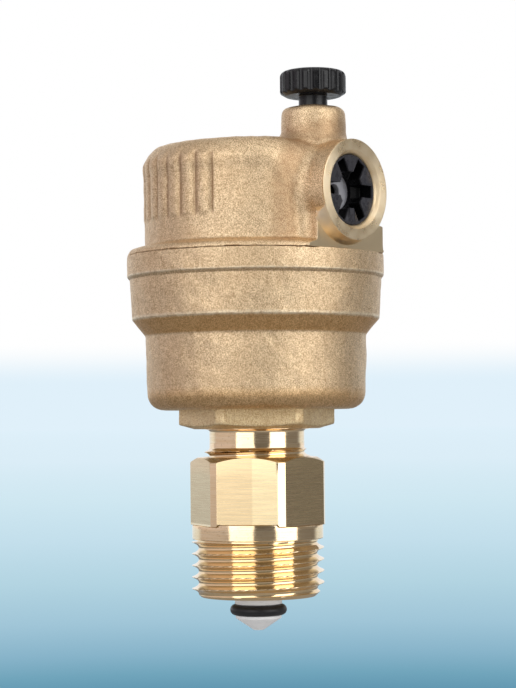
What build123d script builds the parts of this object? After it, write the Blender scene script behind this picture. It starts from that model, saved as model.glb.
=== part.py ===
from build123d import *
from math import asin, degrees, hypot
import os

# Automatic air release valve with its check valve, in millimetres.
# Z = 0 is where the inlet thread ends at the collar, +Z is up and the vent outlet points along +X.

# Gaps left between pieces
thread_gap = 0.05
running_gap = 0.05
seat_gap = 0.06
loose_gap = 0.30
fit_gap = 0.02

# Check valve body
inlet_thread_radius = 10.4775
inlet_thread_length = 9.0
inlet_thread_chamfer = 1.25
collar_length = 1.8
collar_radius = 10.3
valve_hex_flats = 19.0
valve_hex_corner_radius = 10.65
valve_hex_length = 11.0
valve_hex_turn = 1.8
valve_hex_edge = 0.75
mouth_radius = 5.4
guide_radius = 4.2
guide_web = 4.6
spring_room_radius = 6.8

# Plunger of the check valve
plunger_seal_section = 1.78
plunger_seal_inner_radius = 2.67
plunger_seal_drop = 2.1
plunger_collar_radius = 3.7
plunger_collar_length = 1.8
plunger_foot_radius = 3.6
plunger_foot_length = 0.4
plunger_tip_radius = 0.8
plunger_tip_length = 1.9
plunger_rib_width = 1.4
plunger_peg_radius = 1.6
head_radius = 6.4
head_thickness = 1.4
head_window_inner = 2.4
head_window_outer = 4.9
head_spoke_width = 1.5
spring_wire_radius = 0.35
spring_mean_radius = 5.5
spring_coils = 4

# Nipple under the float chamber
nipple_thread_radius = 8.331
nipple_thread_engaged = 7.7
nipple_thread_shown = 1.2
nipple_neck_radius = 7.47
nipple_neck_length = 2.8
nipple_flare_length = 0.4
nipple_flare = 0.8
nipple_spigot_radius = 7.45
nipple_spigot_length = 2.5
nipple_bore_radius = 4.6
nipple_seal_section = 1.5
nipple_seal_inner_radius = 6.0
nipple_seal_land = 0.4

# Float chamber
body_hex_flats = 22.0
body_hex_corner_radius = 12.4
body_hex_length = 3.0
body_hex_turn = 13.8
body_hex_rounding = 0.8
bowl_wall = 1.9
bowl_floor = 2.3
bowl_upper_radius = 19.55
bowl_step = 2.15
bowl_lower_draft = 0.2
bowl_upper_draft = 0.3
bowl_foot_rounding = 2.7
bowl_lower_height = 11.65
bowl_cone_height = 2.55
bowl_upper_height = 6.0
rim_overhang = 0.45
rim_lead = 0.7
rim_height = 3.2

# Cap
cap_thread_inset = 2.35
cap_thread_length = 6.5
cap_seal_section = 1.78
cap_seal_inset = 0.9
cap_flange_inset = 0.1
cap_flange_height = 1.6
cap_flange_width = 2.8
cap_wall = 1.9
cap_height = 16.6
cap_crown = 0.5
cap_top_thickness = 2.2
cap_room_rounding = 2.5
shoulder_width = 2.5
shoulder_height = 4.9
rib_count = 25
rib_start_angle = 69.5
rib_groove_radius = 0.9
rib_groove_depth = 0.35
rib_foot_above_seam = 5.2
rib_top_above_seam = 14.0

# Screw boss and outlet on the cap
screw_inset = 5.2
boss_radius = 5.05
boss_height = 5.5
boss_rounding = 1.2
outlet_height = 9.0
outlet_stand_out = 0.2
outlet_ring_radius = 7.7
outlet_ring_height = 2.0
outlet_bore_radius = 5.4
outlet_bore_depth = 5.2
outlet_bore_chamfer = 0.5
outlet_port_radius = 1.6
outlet_foot_left = 6.75
outlet_foot_right = 8.6
outlet_foot_height = 4.2
outlet_rounding = 2.0
boss_foot_rounding = 1.4
block_margin = 0.3
block_above_seam = 1.7

# Castellated insert in the outlet
insert_recess = 1.2
insert_socket_radius = 2.8
insert_slot_width = 1.9
insert_slot_reach = 5.0
insert_slot_depth = 2.0
insert_slot_count = 6
insert_floor = 1.0
insert_hole_radius = 1.2

# Closing screw and its seat
screw_thread_radius = 2.45
screw_neck_radius = 2.09
screw_neck_length = 3.3
screw_thread_length = 5.9
screw_travel = 1.6
screw_land_length = 0.4
screw_seal_section = 1.0
screw_seal_inner_radius = 1.45
screw_pin_radius = 1.5
screw_tip_radius = 0.6
screw_seat_hole_radius = 1.1
screw_seat_below_outlet = 1.1
knob_gap = 2.1
knob_radius = 5.1
knob_height = 3.7
knob_rounding = 0.9
knob_chamfer = 0.4
knob_flute_count = 20
knob_flute_radius = 0.55
knob_flute_depth = 0.3

# Vent nozzle
nozzle_radius = 2.45
nozzle_pocket_depth = 3.8
nozzle_stand_out = 1.1
nozzle_rim_radius = 1.4
nozzle_rim_height = 0.7
nozzle_orifice_radius = 0.6
nozzle_slot_width = 0.8
nozzle_seal_thickness = 0.6

# Bracket, pin and lever
bracket_thickness = 0.7
bracket_nozzle_gap = 0.25
bracket_foot_half_width = 5.7
bracket_screw_inset = 2.8
bracket_screw_side = 3.9
bracket_edge = 1.7
bracket_land = 1.9
bracket_screw_radius = 1.0
bracket_screw_length = 3.6
bracket_head_radius = 1.7
bracket_head_height = 1.1
bracket_slot_width = 0.5
pivot_beyond_nozzle = 1.4
pivot_drop = 4.4
pin_radius = 0.8
pin_stand_out = 0.3
hub_radius = 1.35
lever_half_width = 1.8
lever_thickness = 1.8
lever_eye_half_length = 2.0
lever_eye_half_height = 1.5
lever_slot_half_length = 1.0
lever_slot_gap = 0.12
pad_radius = 1.7
pad_thickness = 1.0
pad_cup_wall = 0.5
pad_cup_rim = 0.55
pad_cup_floor = 0.7

# Float
float_travel = 4.8
float_side_gap = 1.3
float_wall = 0.9
float_floor_gap = 1.0
float_height = 10.2
float_lid_thickness = 1.0
float_lip_length = 1.2
float_rounding = 1.5
float_lid_rounding = 0.5
float_pin_radius = 0.6
float_ear_gap = 2.1
float_ear_thickness = 1.1
float_ear_radius = 1.4
float_hub_radius = 4.2
float_hub_height = 1.4

# Radii and places that follow from the bowl's radius
bowl_lower_radius = bowl_upper_radius - bowl_step
bowl_foot_radius = bowl_lower_radius - bowl_lower_draft
bowl_top_radius = bowl_upper_radius + bowl_upper_draft
rim_radius = bowl_top_radius + rim_overhang
cap_thread_radius = rim_radius - cap_thread_inset
cap_seal_inner_radius = cap_thread_radius - cap_seal_inset
cap_flange_radius = rim_radius - cap_flange_inset
cap_wall_radius = cap_flange_radius - cap_flange_width
cap_bore_radius = cap_wall_radius - cap_wall
outlet_face = cap_flange_radius + outlet_stand_out
outlet_spot_face = outlet_face - outlet_ring_height
outlet_bore_end = outlet_face - outlet_bore_depth
screw_offset = cap_wall_radius - screw_inset
pivot_place = screw_offset + pivot_beyond_nozzle
bracket_screw_place = screw_offset - bracket_screw_inset
bracket_foot_start = bracket_screw_place - bracket_edge
bracket_foot_end = bracket_screw_place + bracket_land
block_start = bracket_foot_start - block_margin
block_half_width = bracket_foot_half_width + block_margin
float_radius = bowl_lower_radius - bowl_wall - float_side_gap

# Heights and widths that follow from the sizes above
inlet_end_z = -inlet_thread_length
guide_web_z = inlet_end_z + guide_web
valve_hex_z = collar_length
valve_top_z = valve_hex_z + valve_hex_length
nipple_thread_end_z = valve_top_z - nipple_thread_engaged
nipple_end_z = nipple_thread_end_z - nipple_spigot_length
neck_z = valve_top_z + nipple_thread_shown
neck_top_z = neck_z + nipple_neck_length
body_hex_z = neck_top_z + nipple_flare_length
bowl_z = body_hex_z + body_hex_length
bowl_floor_z = bowl_z + bowl_floor
bowl_cone_z = bowl_z + bowl_lower_height
bowl_upper_z = bowl_cone_z + bowl_cone_height
rim_z = bowl_upper_z + bowl_upper_height
seam_z = rim_z + rim_lead + rim_height
cap_wall_z = seam_z + cap_flange_height
cap_top_z = seam_z + cap_height
boss_top_z = cap_top_z + boss_height
outlet_z = seam_z + outlet_height
block_z = seam_z + block_above_seam
head_z = nipple_end_z - head_thickness
plunger_seal_z = inlet_end_z - plunger_seal_drop
screw_seat_z = outlet_z - screw_seat_below_outlet
nozzle_tip_z = block_z - nozzle_stand_out - nozzle_rim_height
bracket_ear_gap = nozzle_radius + bracket_nozzle_gap
pivot_z = block_z - pivot_drop
float_z = bowl_floor_z + float_floor_gap
float_lid_z = float_z + float_height
float_top_z = float_lid_z + float_lid_thickness
swing_half_angle = degrees(asin(float_travel / 2 / pivot_place))
float_pin_z = pivot_z - float_travel / 2


def turned(corners):
    """Turn an outline about Z. A corner is (radius, height) or (radius, height, rounding)."""
    face = make_face(Polyline(*[corner[:2] for corner in corners], close=True))
    for radius, height, rounding in [corner for corner in corners if len(corner) == 3]:
        corner_point = face.vertices().sort_by_distance((radius, height))[0]
        face = fillet(corner_point, rounding)
    return revolve(Plane.XZ * face, Axis.Z)


def post(radius, low, high, x=0, y=0):
    """An upright cylinder between two heights."""
    return Pos(x, y, (low + high) / 2) * Cylinder(radius, high - low)


def slab(x_low, x_high, y_low, y_high, z_low, z_high):
    """A box given by its limits."""
    centre = Pos((x_low + x_high) / 2, (y_low + y_high) / 2, (z_low + z_high) / 2)
    return centre * Box(x_high - x_low, y_high - y_low, z_high - z_low)


def bar_along_x(radius, x_low, x_high, z):
    """A cylinder along X at a height."""
    return Pos((x_low + x_high) / 2, 0, z) * Rot(0, 90, 0) * Cylinder(radius, x_high - x_low)


def bar_along_y(radius, y_low, y_high, x, z):
    """A cylinder along Y at a place in the XZ plane."""
    return Pos(x, (y_low + y_high) / 2, z) * Rot(90, 0, 0) * Cylinder(radius, y_high - y_low)


def hexagon_prism(across_flats, low, high, turn):
    """A hexagonal bar whose first flat looks along the angle turn."""
    prism = extrude(RegularPolygon(across_flats / 2, 6, major_radius=False), high - low)
    return Pos(0, 0, low) * Rot(0, 0, turn + 30) * prism


def ring(inner_radius, section, z):
    """A round seal ring about Z."""
    return Pos(0, 0, z) * Torus(inner_radius + section / 2, section / 2)


def make_check_valve_body():
    """Threaded inlet, collar and hexagon, with the plunger's guide and the nipple's socket."""
    shank = turned([(0, inlet_end_z), (inlet_thread_radius - inlet_thread_chamfer, inlet_end_z),
                    (inlet_thread_radius, inlet_end_z + inlet_thread_chamfer), (inlet_thread_radius, 0),
                    (collar_radius, 0), (collar_radius, valve_hex_z), (0, valve_hex_z)])
    top_radius = valve_hex_flats / 2 - 0.15
    blank = turned([(0, valve_hex_z), (valve_hex_corner_radius, valve_hex_z),
                    (valve_hex_corner_radius, valve_top_z - valve_hex_edge),
                    (top_radius, valve_top_z), (0, valve_top_z)])
    hexagon = blank & hexagon_prism(valve_hex_flats, valve_hex_z, valve_top_z, valve_hex_turn)
    seal_bore = nipple_seal_inner_radius + nipple_seal_section + fit_gap
    thread_bore = nipple_thread_radius + thread_gap
    mouth_depth = mouth_radius - guide_radius
    seal_floor_z = nipple_end_z - seat_gap
    bores = turned([(0, inlet_end_z), (mouth_radius, inlet_end_z), (guide_radius, inlet_end_z + mouth_depth),
                    (guide_radius, guide_web_z), (spring_room_radius, guide_web_z),
                    (spring_room_radius, seal_floor_z), (seal_bore, seal_floor_z),
                    (seal_bore, nipple_thread_end_z - loose_gap),
                    (thread_bore, nipple_thread_end_z - loose_gap),
                    (thread_bore, valve_top_z), (0, valve_top_z)])
    return shank + hexagon - bores


def make_plunger():
    """Pointed foot, seal groove, round collar and a four-winged guide with a peg on top."""
    groove_radius = plunger_seal_inner_radius - fit_gap
    groove_low = plunger_seal_z - plunger_seal_section / 2
    groove_high = plunger_seal_z + plunger_seal_section / 2
    foot_z = groove_low - plunger_foot_length
    collar_top = groove_high + plunger_collar_length
    foot = turned([(0, foot_z - plunger_tip_length), (plunger_tip_radius, foot_z - plunger_tip_length),
                   (plunger_foot_radius, foot_z, 0.3), (plunger_foot_radius, groove_low),
                   (groove_radius, groove_low), (groove_radius, groove_high),
                   (plunger_collar_radius, groove_high), (plunger_collar_radius, collar_top),
                   (0, collar_top)])
    reach = guide_radius - running_gap
    wing = slab(-reach, reach, -plunger_rib_width / 2, plunger_rib_width / 2, collar_top, head_z)
    guide = (wing + Rot(0, 0, 90) * wing) & post(reach, collar_top, head_z)
    return foot + guide + post(plunger_peg_radius, head_z, head_z + head_thickness)


def make_plunger_head():
    """Spoked disc on the plunger's peg, which the nipple presses and the spring lifts."""
    disc = post(head_radius, head_z, nipple_end_z)
    windows = post(head_window_outer, head_z, nipple_end_z) - post(head_window_inner, head_z, nipple_end_z)
    reach = head_window_outer
    spoke = slab(-reach, reach, -head_spoke_width / 2, head_spoke_width / 2, head_z, nipple_end_z)
    windows = windows - Rot(0, 0, 45) * spoke - Rot(0, 0, 135) * spoke
    return disc - windows - post(plunger_peg_radius + fit_gap, head_z, nipple_end_z)


def make_plunger_spring():
    """Coil spring between the guide web and the plunger's head."""
    height = head_z - guide_web_z - 2 * spring_wire_radius - 2 * seat_gap
    path = Helix(height / spring_coils, height, spring_mean_radius)
    section = Plane(path @ 0, z_dir=path % 0) * Circle(spring_wire_radius)
    return Pos(0, 0, guide_web_z + spring_wire_radius + seat_gap) * sweep(section, path, is_frenet=True)


def make_float_chamber():
    """Cast bowl with its hexagon and the threaded nipple under it."""
    groove_low = nipple_end_z + nipple_seal_land
    groove_high = groove_low + nipple_seal_section + 2 * fit_gap
    groove_radius = nipple_seal_inner_radius - fit_gap
    thread_lead = nipple_thread_radius - nipple_spigot_radius
    nipple = turned([(0, nipple_end_z), (nipple_spigot_radius, nipple_end_z),
                     (nipple_spigot_radius, groove_low), (groove_radius, groove_low),
                     (groove_radius, groove_high), (nipple_spigot_radius, groove_high),
                     (nipple_spigot_radius, nipple_thread_end_z),
                     (nipple_thread_radius, nipple_thread_end_z + thread_lead),
                     (nipple_thread_radius, neck_z), (nipple_neck_radius, neck_z + 0.4),
                     (nipple_neck_radius, neck_top_z), (nipple_neck_radius + nipple_flare, body_hex_z),
                     (0, body_hex_z)])
    blank = turned([(0, body_hex_z), (body_hex_corner_radius, body_hex_z, body_hex_rounding),
                    (body_hex_corner_radius, bowl_floor_z), (0, bowl_floor_z)])
    hexagon = blank & hexagon_prism(body_hex_flats, body_hex_z, bowl_floor_z, body_hex_turn)
    bowl = turned([(0, bowl_z), (bowl_foot_radius, bowl_z, bowl_foot_rounding),
                   (bowl_lower_radius, bowl_cone_z, 0.8), (bowl_upper_radius, bowl_upper_z, 0.6),
                   (bowl_top_radius, rim_z), (rim_radius, rim_z + rim_lead, 0.4),
                   (rim_radius, seam_z, 0.15), (0, seam_z)])
    thread_bore = cap_thread_radius + thread_gap
    seal_bore = cap_seal_inner_radius + cap_seal_section + fit_gap
    thread_floor_z = seam_z - cap_thread_length - loose_gap
    seal_floor_z = seam_z - cap_seal_section - 2 * fit_gap
    lower_bore = bowl_lower_radius - bowl_wall
    upper_bore = bowl_upper_radius - bowl_wall
    room = turned([(0, bowl_floor_z), (lower_bore, bowl_floor_z, 1.5), (lower_bore, bowl_cone_z + 0.6),
                   (upper_bore, bowl_upper_z + 0.6), (upper_bore, thread_floor_z),
                   (thread_bore, thread_floor_z), (thread_bore, seal_floor_z),
                   (seal_bore, seal_floor_z), (seal_bore, seam_z), (0, seam_z)])
    bore = post(nipple_bore_radius, nipple_end_z, bowl_floor_z)
    return nipple + hexagon + bowl - room - bore


def cap_outline():
    """Outer skin of the cap: threaded spigot, seal groove, flange, wall, shoulder and crown."""
    groove_radius = cap_seal_inner_radius - fit_gap
    groove_low = seam_z - cap_seal_section - 2 * fit_gap
    spigot_end = seam_z - cap_thread_length
    shoulder_z = cap_top_z - shoulder_height
    shoulder_radius = cap_wall_radius - shoulder_width
    crown_z = cap_top_z + cap_crown
    lines = Polyline((0, spigot_end), (cap_thread_radius, spigot_end), (cap_thread_radius, groove_low),
                     (groove_radius, groove_low), (groove_radius, seam_z), (cap_flange_radius, seam_z))
    flange = Spline((cap_flange_radius, seam_z), (cap_wall_radius, cap_wall_z),
                    tangents=[(0, 1), (-0.9, 0.45)])
    wall = Line((cap_wall_radius, cap_wall_z), (cap_wall_radius, shoulder_z))
    shoulder = EllipticalCenterArc((shoulder_radius, shoulder_z), shoulder_width, shoulder_height,
                                   start_angle=0, arc_size=90)
    crown = TangentArc((0, crown_z), (shoulder_radius, cap_top_z), tangent=(1, 0))
    axis = Line((0, crown_z), (0, spigot_end))
    return revolve(Plane.XZ * make_face(lines + flange + wall + shoulder + crown + axis), Axis.Z)


def outlet_housing():
    """Cast barrel of the outlet with the foot that runs down to the flange, wider on one side."""
    barrel = bar_along_x(outlet_ring_radius, block_start, outlet_face, outlet_z)
    foot = slab(block_start, outlet_face, -outlet_foot_left, outlet_ring_radius, seam_z, outlet_z)
    lug = slab(block_start, outlet_face, 0, outlet_foot_right, seam_z, seam_z + outlet_foot_height)
    return barrel + ((foot + lug) & post(cap_flange_radius, seam_z, outlet_z))


def spot_face():
    """What the cutter takes off in front of the foot, round the ring that it leaves."""
    reach = rim_radius
    front = slab(outlet_spot_face, outlet_face + 1, -reach, reach, seam_z, boss_top_z)
    return front - bar_along_x(outlet_ring_radius, outlet_spot_face, outlet_face + 1, outlet_z)


def cap_ports():
    """Bores of the outlet, the closing screw, the nozzle and the bracket's screws."""
    mouth = Pos(outlet_face - outlet_bore_chamfer / 2, 0, outlet_z) * Rot(0, 90, 0) * Cone(
        outlet_bore_radius, outlet_bore_radius + outlet_bore_chamfer, outlet_bore_chamfer)
    outlet = bar_along_x(outlet_bore_radius, outlet_bore_end, outlet_face, outlet_z) + mouth
    port = bar_along_x(outlet_port_radius, screw_offset, outlet_bore_end, outlet_z)
    screw_bore = post(screw_thread_radius + thread_gap, screw_seat_z, boss_top_z, screw_offset)
    seat_hole = post(screw_seat_hole_radius, block_z, screw_seat_z, screw_offset)
    pocket = post(nozzle_radius + thread_gap, block_z, block_z + nozzle_pocket_depth, screw_offset)
    depth = bracket_screw_length - bracket_thickness
    holes = [post(bracket_screw_radius + fit_gap, block_z, block_z + depth, bracket_screw_place, side)
             for side in (-bracket_screw_side, bracket_screw_side)]
    return outlet + port + screw_bore + seat_hole + pocket + holes


def rib_grooves():
    """Upright grooves with round ends that leave the grip ribs on the wall, clear of the outlet."""
    place = cap_wall_radius + rib_groove_radius - rib_groove_depth
    low, high = seam_z + rib_foot_above_seam, seam_z + rib_top_above_seam
    ends = [Pos(place, 0, z) * Sphere(rib_groove_radius) for z in (low, high)]
    groove = post(rib_groove_radius, low, high, place) + ends
    step = (360 - 2 * rib_start_angle) / rib_count
    return [Rot(0, 0, rib_start_angle + step * turn) * groove for turn in range(rib_count + 1)]


def meets_wall(point):
    """True where the outlet's housing meets the cap's round wall or shoulder."""
    outside = abs(point.Y) > 1 and point.Z > seam_z + 0.2
    near = hypot(point.X, point.Y) < cap_wall_radius + 0.1
    return outside and near and point.X > cap_wall_radius - shoulder_width - 1


def on_boss(point):
    """True on the side of the screw boss, below its rounded top."""
    off_axis = hypot(point.X - screw_offset, point.Y)
    return abs(off_axis - boss_radius) < 0.001 and point.Z < boss_top_z - boss_rounding - 0.2


def curved_edges(shape, test):
    """Edges whose ends and middle pass a test, without the straight seam of a cylinder."""
    return [edge for edge in shape.edges() if all(test(edge @ t) for t in (0.1, 0.5, 0.9))
            and not (edge.geom_type == GeomType.LINE and test is on_boss)]


def make_cap():
    """Cast cap with its ribs, the screw boss, the outlet ring and the ports inside."""
    cap = cap_outline() + outlet_housing()
    cap = fillet(curved_edges(cap, meets_wall), outlet_rounding)
    boss = Pos(screw_offset, 0, 0) * turned([(0, outlet_z), (boss_radius, outlet_z),
                                             (boss_radius, boss_top_z, boss_rounding), (0, boss_top_z)])
    cap = cap + boss
    cap = fillet(curved_edges(cap, on_boss), boss_foot_rounding)
    spigot_end = seam_z - cap_thread_length
    room_top = cap_top_z - cap_top_thickness
    room = turned([(0, spigot_end), (cap_bore_radius, spigot_end),
                   (cap_bore_radius, room_top, cap_room_rounding), (0, room_top)])
    block = slab(block_start, outlet_face, -block_half_width, block_half_width, block_z, cap_top_z)
    return cap - (room - block) - spot_face() - cap_ports() - rib_grooves()


def make_closing_screw():
    """Fluted knob, relieved neck, threaded shank, seal groove and a pin with a conical tip."""
    knob_z = boss_top_z + knob_gap
    neck_end = knob_z - screw_neck_length
    thread_end = neck_end - screw_thread_length
    land_high = thread_end - screw_seal_section - 2 * fit_gap
    land_low = land_high - screw_land_length
    tip_z = screw_seat_z + seat_gap + screw_travel - (screw_seat_hole_radius - screw_tip_radius)
    groove_radius = screw_seal_inner_radius - fit_gap
    shaft = turned([(0, tip_z), (screw_tip_radius, tip_z),
                    (screw_pin_radius, tip_z + screw_pin_radius - screw_tip_radius),
                    (screw_pin_radius, land_low), (screw_thread_radius, land_low),
                    (screw_thread_radius, land_high), (groove_radius, land_high),
                    (groove_radius, thread_end), (screw_thread_radius, thread_end),
                    (screw_thread_radius, neck_end), (screw_neck_radius, neck_end),
                    (screw_neck_radius, knob_z), (knob_radius, knob_z, knob_chamfer),
                    (knob_radius, knob_z + knob_height, knob_rounding), (0, knob_z + knob_height)])
    place = knob_radius + knob_flute_radius - knob_flute_depth
    flutes = [Rot(0, 0, 360 / knob_flute_count * turn) * post(knob_flute_radius, knob_z,
              knob_z + knob_height, place) for turn in range(knob_flute_count)]
    return Pos(screw_offset, 0, 0) * (shaft - flutes)


def make_closing_screw_seal():
    """Small seal ring in the groove at the end of the closing screw's thread."""
    thread_end = boss_top_z + knob_gap - screw_neck_length - screw_thread_length
    centre = thread_end - fit_gap - screw_seal_section / 2
    return Pos(screw_offset, 0, 0) * ring(screw_seal_inner_radius, screw_seal_section, centre)


def make_outlet_insert():
    """Castellated insert with slots for its key, a socket and a hole through its floor."""
    face = outlet_face - insert_recess
    insert = bar_along_x(outlet_bore_radius - thread_gap, outlet_bore_end, face, outlet_z)
    socket = bar_along_x(insert_socket_radius, outlet_bore_end + insert_floor, face, outlet_z)
    hole = bar_along_x(insert_hole_radius, outlet_bore_end, face, outlet_z)
    half = insert_slot_width / 2
    slot = slab(face - insert_slot_depth, face, 0, insert_slot_reach, -half, half)
    slots = [Pos(0, 0, outlet_z) * Rot(360 / insert_slot_count * turn, 0, 0) * slot
             for turn in range(insert_slot_count)]
    return insert - socket - hole - slots


def make_vent_nozzle():
    """Screwed nozzle with a narrow rim that the lever's pad closes from below."""
    top = block_z + nozzle_pocket_depth - nozzle_seal_thickness
    face = block_z - nozzle_stand_out
    body = turned([(0, nozzle_tip_z), (nozzle_rim_radius, nozzle_tip_z), (nozzle_rim_radius, face),
                   (nozzle_radius, face), (nozzle_radius, top), (0, top)])
    half = nozzle_slot_width / 2
    slot = slab(-nozzle_radius, nozzle_radius, -half, half, face, face + nozzle_slot_width)
    slot = slot - post(nozzle_rim_radius, face, face + nozzle_slot_width)
    orifice = post(nozzle_orifice_radius, nozzle_tip_z, top)
    return Pos(screw_offset, 0, 0) * (body - slot - orifice)


def make_nozzle_seal():
    """Flat ring between the nozzle and the end of its pocket."""
    top = block_z + nozzle_pocket_depth
    outer = post(nozzle_radius - fit_gap, top - nozzle_seal_thickness, top, screw_offset)
    return outer - post(screw_seat_hole_radius, top - nozzle_seal_thickness, top, screw_offset)


def make_lever_bracket():
    """Folded bracket under the block: a foot for two screws, forked round the nozzle into two ears."""
    low = block_z - bracket_thickness
    ear_outer = bracket_ear_gap + bracket_thickness
    ear_start, ear_end = pivot_place - hub_radius, pivot_place + hub_radius
    side = bracket_foot_half_width
    foot = slab(bracket_foot_start, bracket_foot_end, -side, side, low, block_z)
    plate = foot + slab(bracket_foot_start, ear_end, -ear_outer, ear_outer, low, block_z)
    ear = slab(ear_start, ear_end, bracket_ear_gap, ear_outer, pivot_z, block_z)
    ear = ear + bar_along_y(hub_radius, bracket_ear_gap, ear_outer, pivot_place, pivot_z)
    ear = ear - bar_along_y(pin_radius + fit_gap, bracket_ear_gap, ear_outer, pivot_place, pivot_z)
    holes = [post(bracket_screw_radius + fit_gap, low, block_z, bracket_screw_place, place)
             for place in (-bracket_screw_side, bracket_screw_side)]
    fork = post(bracket_ear_gap, low, block_z, screw_offset)
    fork = fork + slab(screw_offset, ear_end, -bracket_ear_gap, bracket_ear_gap, low, block_z)
    return plate - fork - holes + ear + mirror(ear, Plane.XZ)


def make_bracket_screws():
    """Two slotted screws that hold the bracket to the cap."""
    low = block_z - bracket_thickness
    head = post(bracket_head_radius, low - bracket_head_height, low)
    half = bracket_slot_width / 2
    slot = slab(-bracket_head_radius, bracket_head_radius, -half, half, low - bracket_head_height,
                low - bracket_head_height + bracket_slot_width)
    screw = head - slot + post(bracket_screw_radius, low, low + bracket_screw_length)
    return Compound([Pos(bracket_screw_place, side, 0) * screw
                     for side in (-bracket_screw_side, bracket_screw_side)])


def make_lever_pin():
    """Pin through both ears that the lever turns on."""
    reach = bracket_ear_gap + bracket_thickness + pin_stand_out
    return bar_along_y(pin_radius, -reach, reach, pivot_place, pivot_z)


def swung(shape, angle):
    """Turn a shape about the lever's pin; a positive angle lifts the float's end."""
    return Pos(pivot_place, 0, pivot_z) * Rot(0, angle, 0) * Pos(-pivot_place, 0, -pivot_z) * shape


def closed_pad():
    """The pad where it closes the nozzle."""
    top = nozzle_tip_z - seat_gap
    return post(pad_radius, top - pad_thickness, top, screw_offset)


def make_float_lever():
    """Lever with its hub, the pad's cup and the slotted eye for the float's pin, drawn open."""
    half = lever_thickness / 2
    arm = slab(0, pivot_place, -lever_half_width, lever_half_width, pivot_z - half, pivot_z + half)
    eye = slab(-lever_eye_half_length, lever_eye_half_length, -lever_half_width, lever_half_width,
               pivot_z - lever_eye_half_height, pivot_z + lever_eye_half_height)
    slot_radius = float_pin_radius + lever_slot_gap
    run = lever_slot_half_length - slot_radius
    slot = slab(-run, run, -lever_half_width, lever_half_width, pivot_z - slot_radius, pivot_z + slot_radius)
    slot = slot + [bar_along_y(slot_radius, -lever_half_width, lever_half_width, x, pivot_z)
                   for x in (-run, run)]
    hub_reach = bracket_ear_gap - 3 * running_gap
    hub = bar_along_y(hub_radius, -hub_reach, hub_reach, pivot_place, pivot_z)
    pad_top = nozzle_tip_z - seat_gap
    pad_low = pad_top - pad_thickness
    cup = post(pad_radius + pad_cup_wall, pad_low - pad_cup_floor, pad_top - pad_cup_rim, screw_offset)
    recess = post(pad_radius + fit_gap, pad_low, pad_top, screw_offset)
    bore = bar_along_y(pin_radius + running_gap, -hub_reach, hub_reach, pivot_place, pivot_z)
    closed = swung(arm + eye - slot, swing_half_angle) + hub + cup - recess - bore
    return swung(closed, -2 * swing_half_angle)


def make_lever_pad():
    """Soft disc in the lever's cup that closes the nozzle."""
    return swung(closed_pad(), -2 * swing_half_angle)


def make_float_shell():
    """Hollow cup of the float."""
    outside = turned([(0, float_z), (float_radius, float_z, float_rounding),
                      (float_radius, float_lid_z), (0, float_lid_z)])
    inner = float_radius - float_wall
    floor = float_z + float_wall
    return outside - turned([(0, floor), (inner, floor, float_rounding - float_wall / 2),
                             (inner, float_lid_z), (0, float_lid_z)])


def make_float_lid():
    """Lid of the float with a lip that plugs the shell, a hub and two ears for the pin."""
    lip_radius = float_radius - float_wall - fit_gap
    lip_z = float_lid_z - float_lip_length
    hub_top = float_top_z + float_hub_height
    lid = turned([(lip_radius - float_wall, lip_z), (lip_radius, lip_z), (lip_radius, float_lid_z),
                  (float_radius, float_lid_z), (float_radius, float_top_z, float_lid_rounding),
                  (float_hub_radius, float_top_z), (float_hub_radius, hub_top), (0, hub_top),
                  (0, float_lid_z), (lip_radius - float_wall, float_lid_z)])
    ear_outer = float_ear_gap + float_ear_thickness
    ear = slab(-float_ear_radius, float_ear_radius, float_ear_gap, ear_outer, hub_top, float_pin_z)
    ear = ear + bar_along_y(float_ear_radius, float_ear_gap, ear_outer, 0, float_pin_z)
    ear = ear - bar_along_y(float_pin_radius + fit_gap, float_ear_gap, ear_outer, 0, float_pin_z)
    return lid + ear + mirror(ear, Plane.XZ)


def make_float_pin():
    """Pin through the float's ears and the lever's slot."""
    reach = float_ear_gap + float_ear_thickness
    return bar_along_y(float_pin_radius, -reach, reach, 0, float_pin_z)


def make_plunger_seal():
    """Seal ring of the check valve."""
    return ring(plunger_seal_inner_radius, plunger_seal_section, plunger_seal_z)


def make_nipple_seal():
    """Seal ring on the end of the nipple."""
    centre = nipple_end_z + nipple_seal_land + fit_gap + nipple_seal_section / 2
    return ring(nipple_seal_inner_radius, nipple_seal_section, centre)


def make_cap_seal():
    """Seal ring between the cap and the rim of the bowl."""
    return ring(cap_seal_inner_radius, cap_seal_section, seam_z - fit_gap - cap_seal_section / 2)


makers = {
    "check_valve_body": make_check_valve_body,
    "plunger": make_plunger,
    "plunger_head": make_plunger_head,
    "plunger_seal": make_plunger_seal,
    "plunger_spring": make_plunger_spring,
    "nipple_seal": make_nipple_seal,
    "float_chamber": make_float_chamber,
    "cap": make_cap,
    "cap_seal": make_cap_seal,
    "closing_screw": make_closing_screw,
    "closing_screw_seal": make_closing_screw_seal,
    "outlet_insert": make_outlet_insert,
    "vent_nozzle": make_vent_nozzle,
    "nozzle_seal": make_nozzle_seal,
    "lever_bracket": make_lever_bracket,
    "bracket_screws": make_bracket_screws,
    "lever_pin": make_lever_pin,
    "float_lever": make_float_lever,
    "lever_pad": make_lever_pad,
    "float_shell": make_float_shell,
    "float_lid": make_float_lid,
    "float_pin": make_float_pin,
}

os.makedirs("parts", exist_ok=True)
for name, maker in makers.items():
    shape = maker()
    export_step(shape, f"parts/{name}.step")
    print(f"{name}: {len(shape.solids())} solids, {shape.volume:.1f} mm3")
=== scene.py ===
# %% [markdown]
# # An automatic air release valve in brass
# The real thing is a cast float chamber with a cast cap, on a turned check valve. A black knob closes
# the vent by hand and a black slotted insert sits in the outlet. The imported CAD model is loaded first
# as a fixed frame. Everything below gives its pieces the threads, casting skin and tool marks that the
# plain solids leave out, and every piece stays where the CAD says.

# %% Load the frame and keep its box
from math import cos, pi, radians, sin, tau

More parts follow.
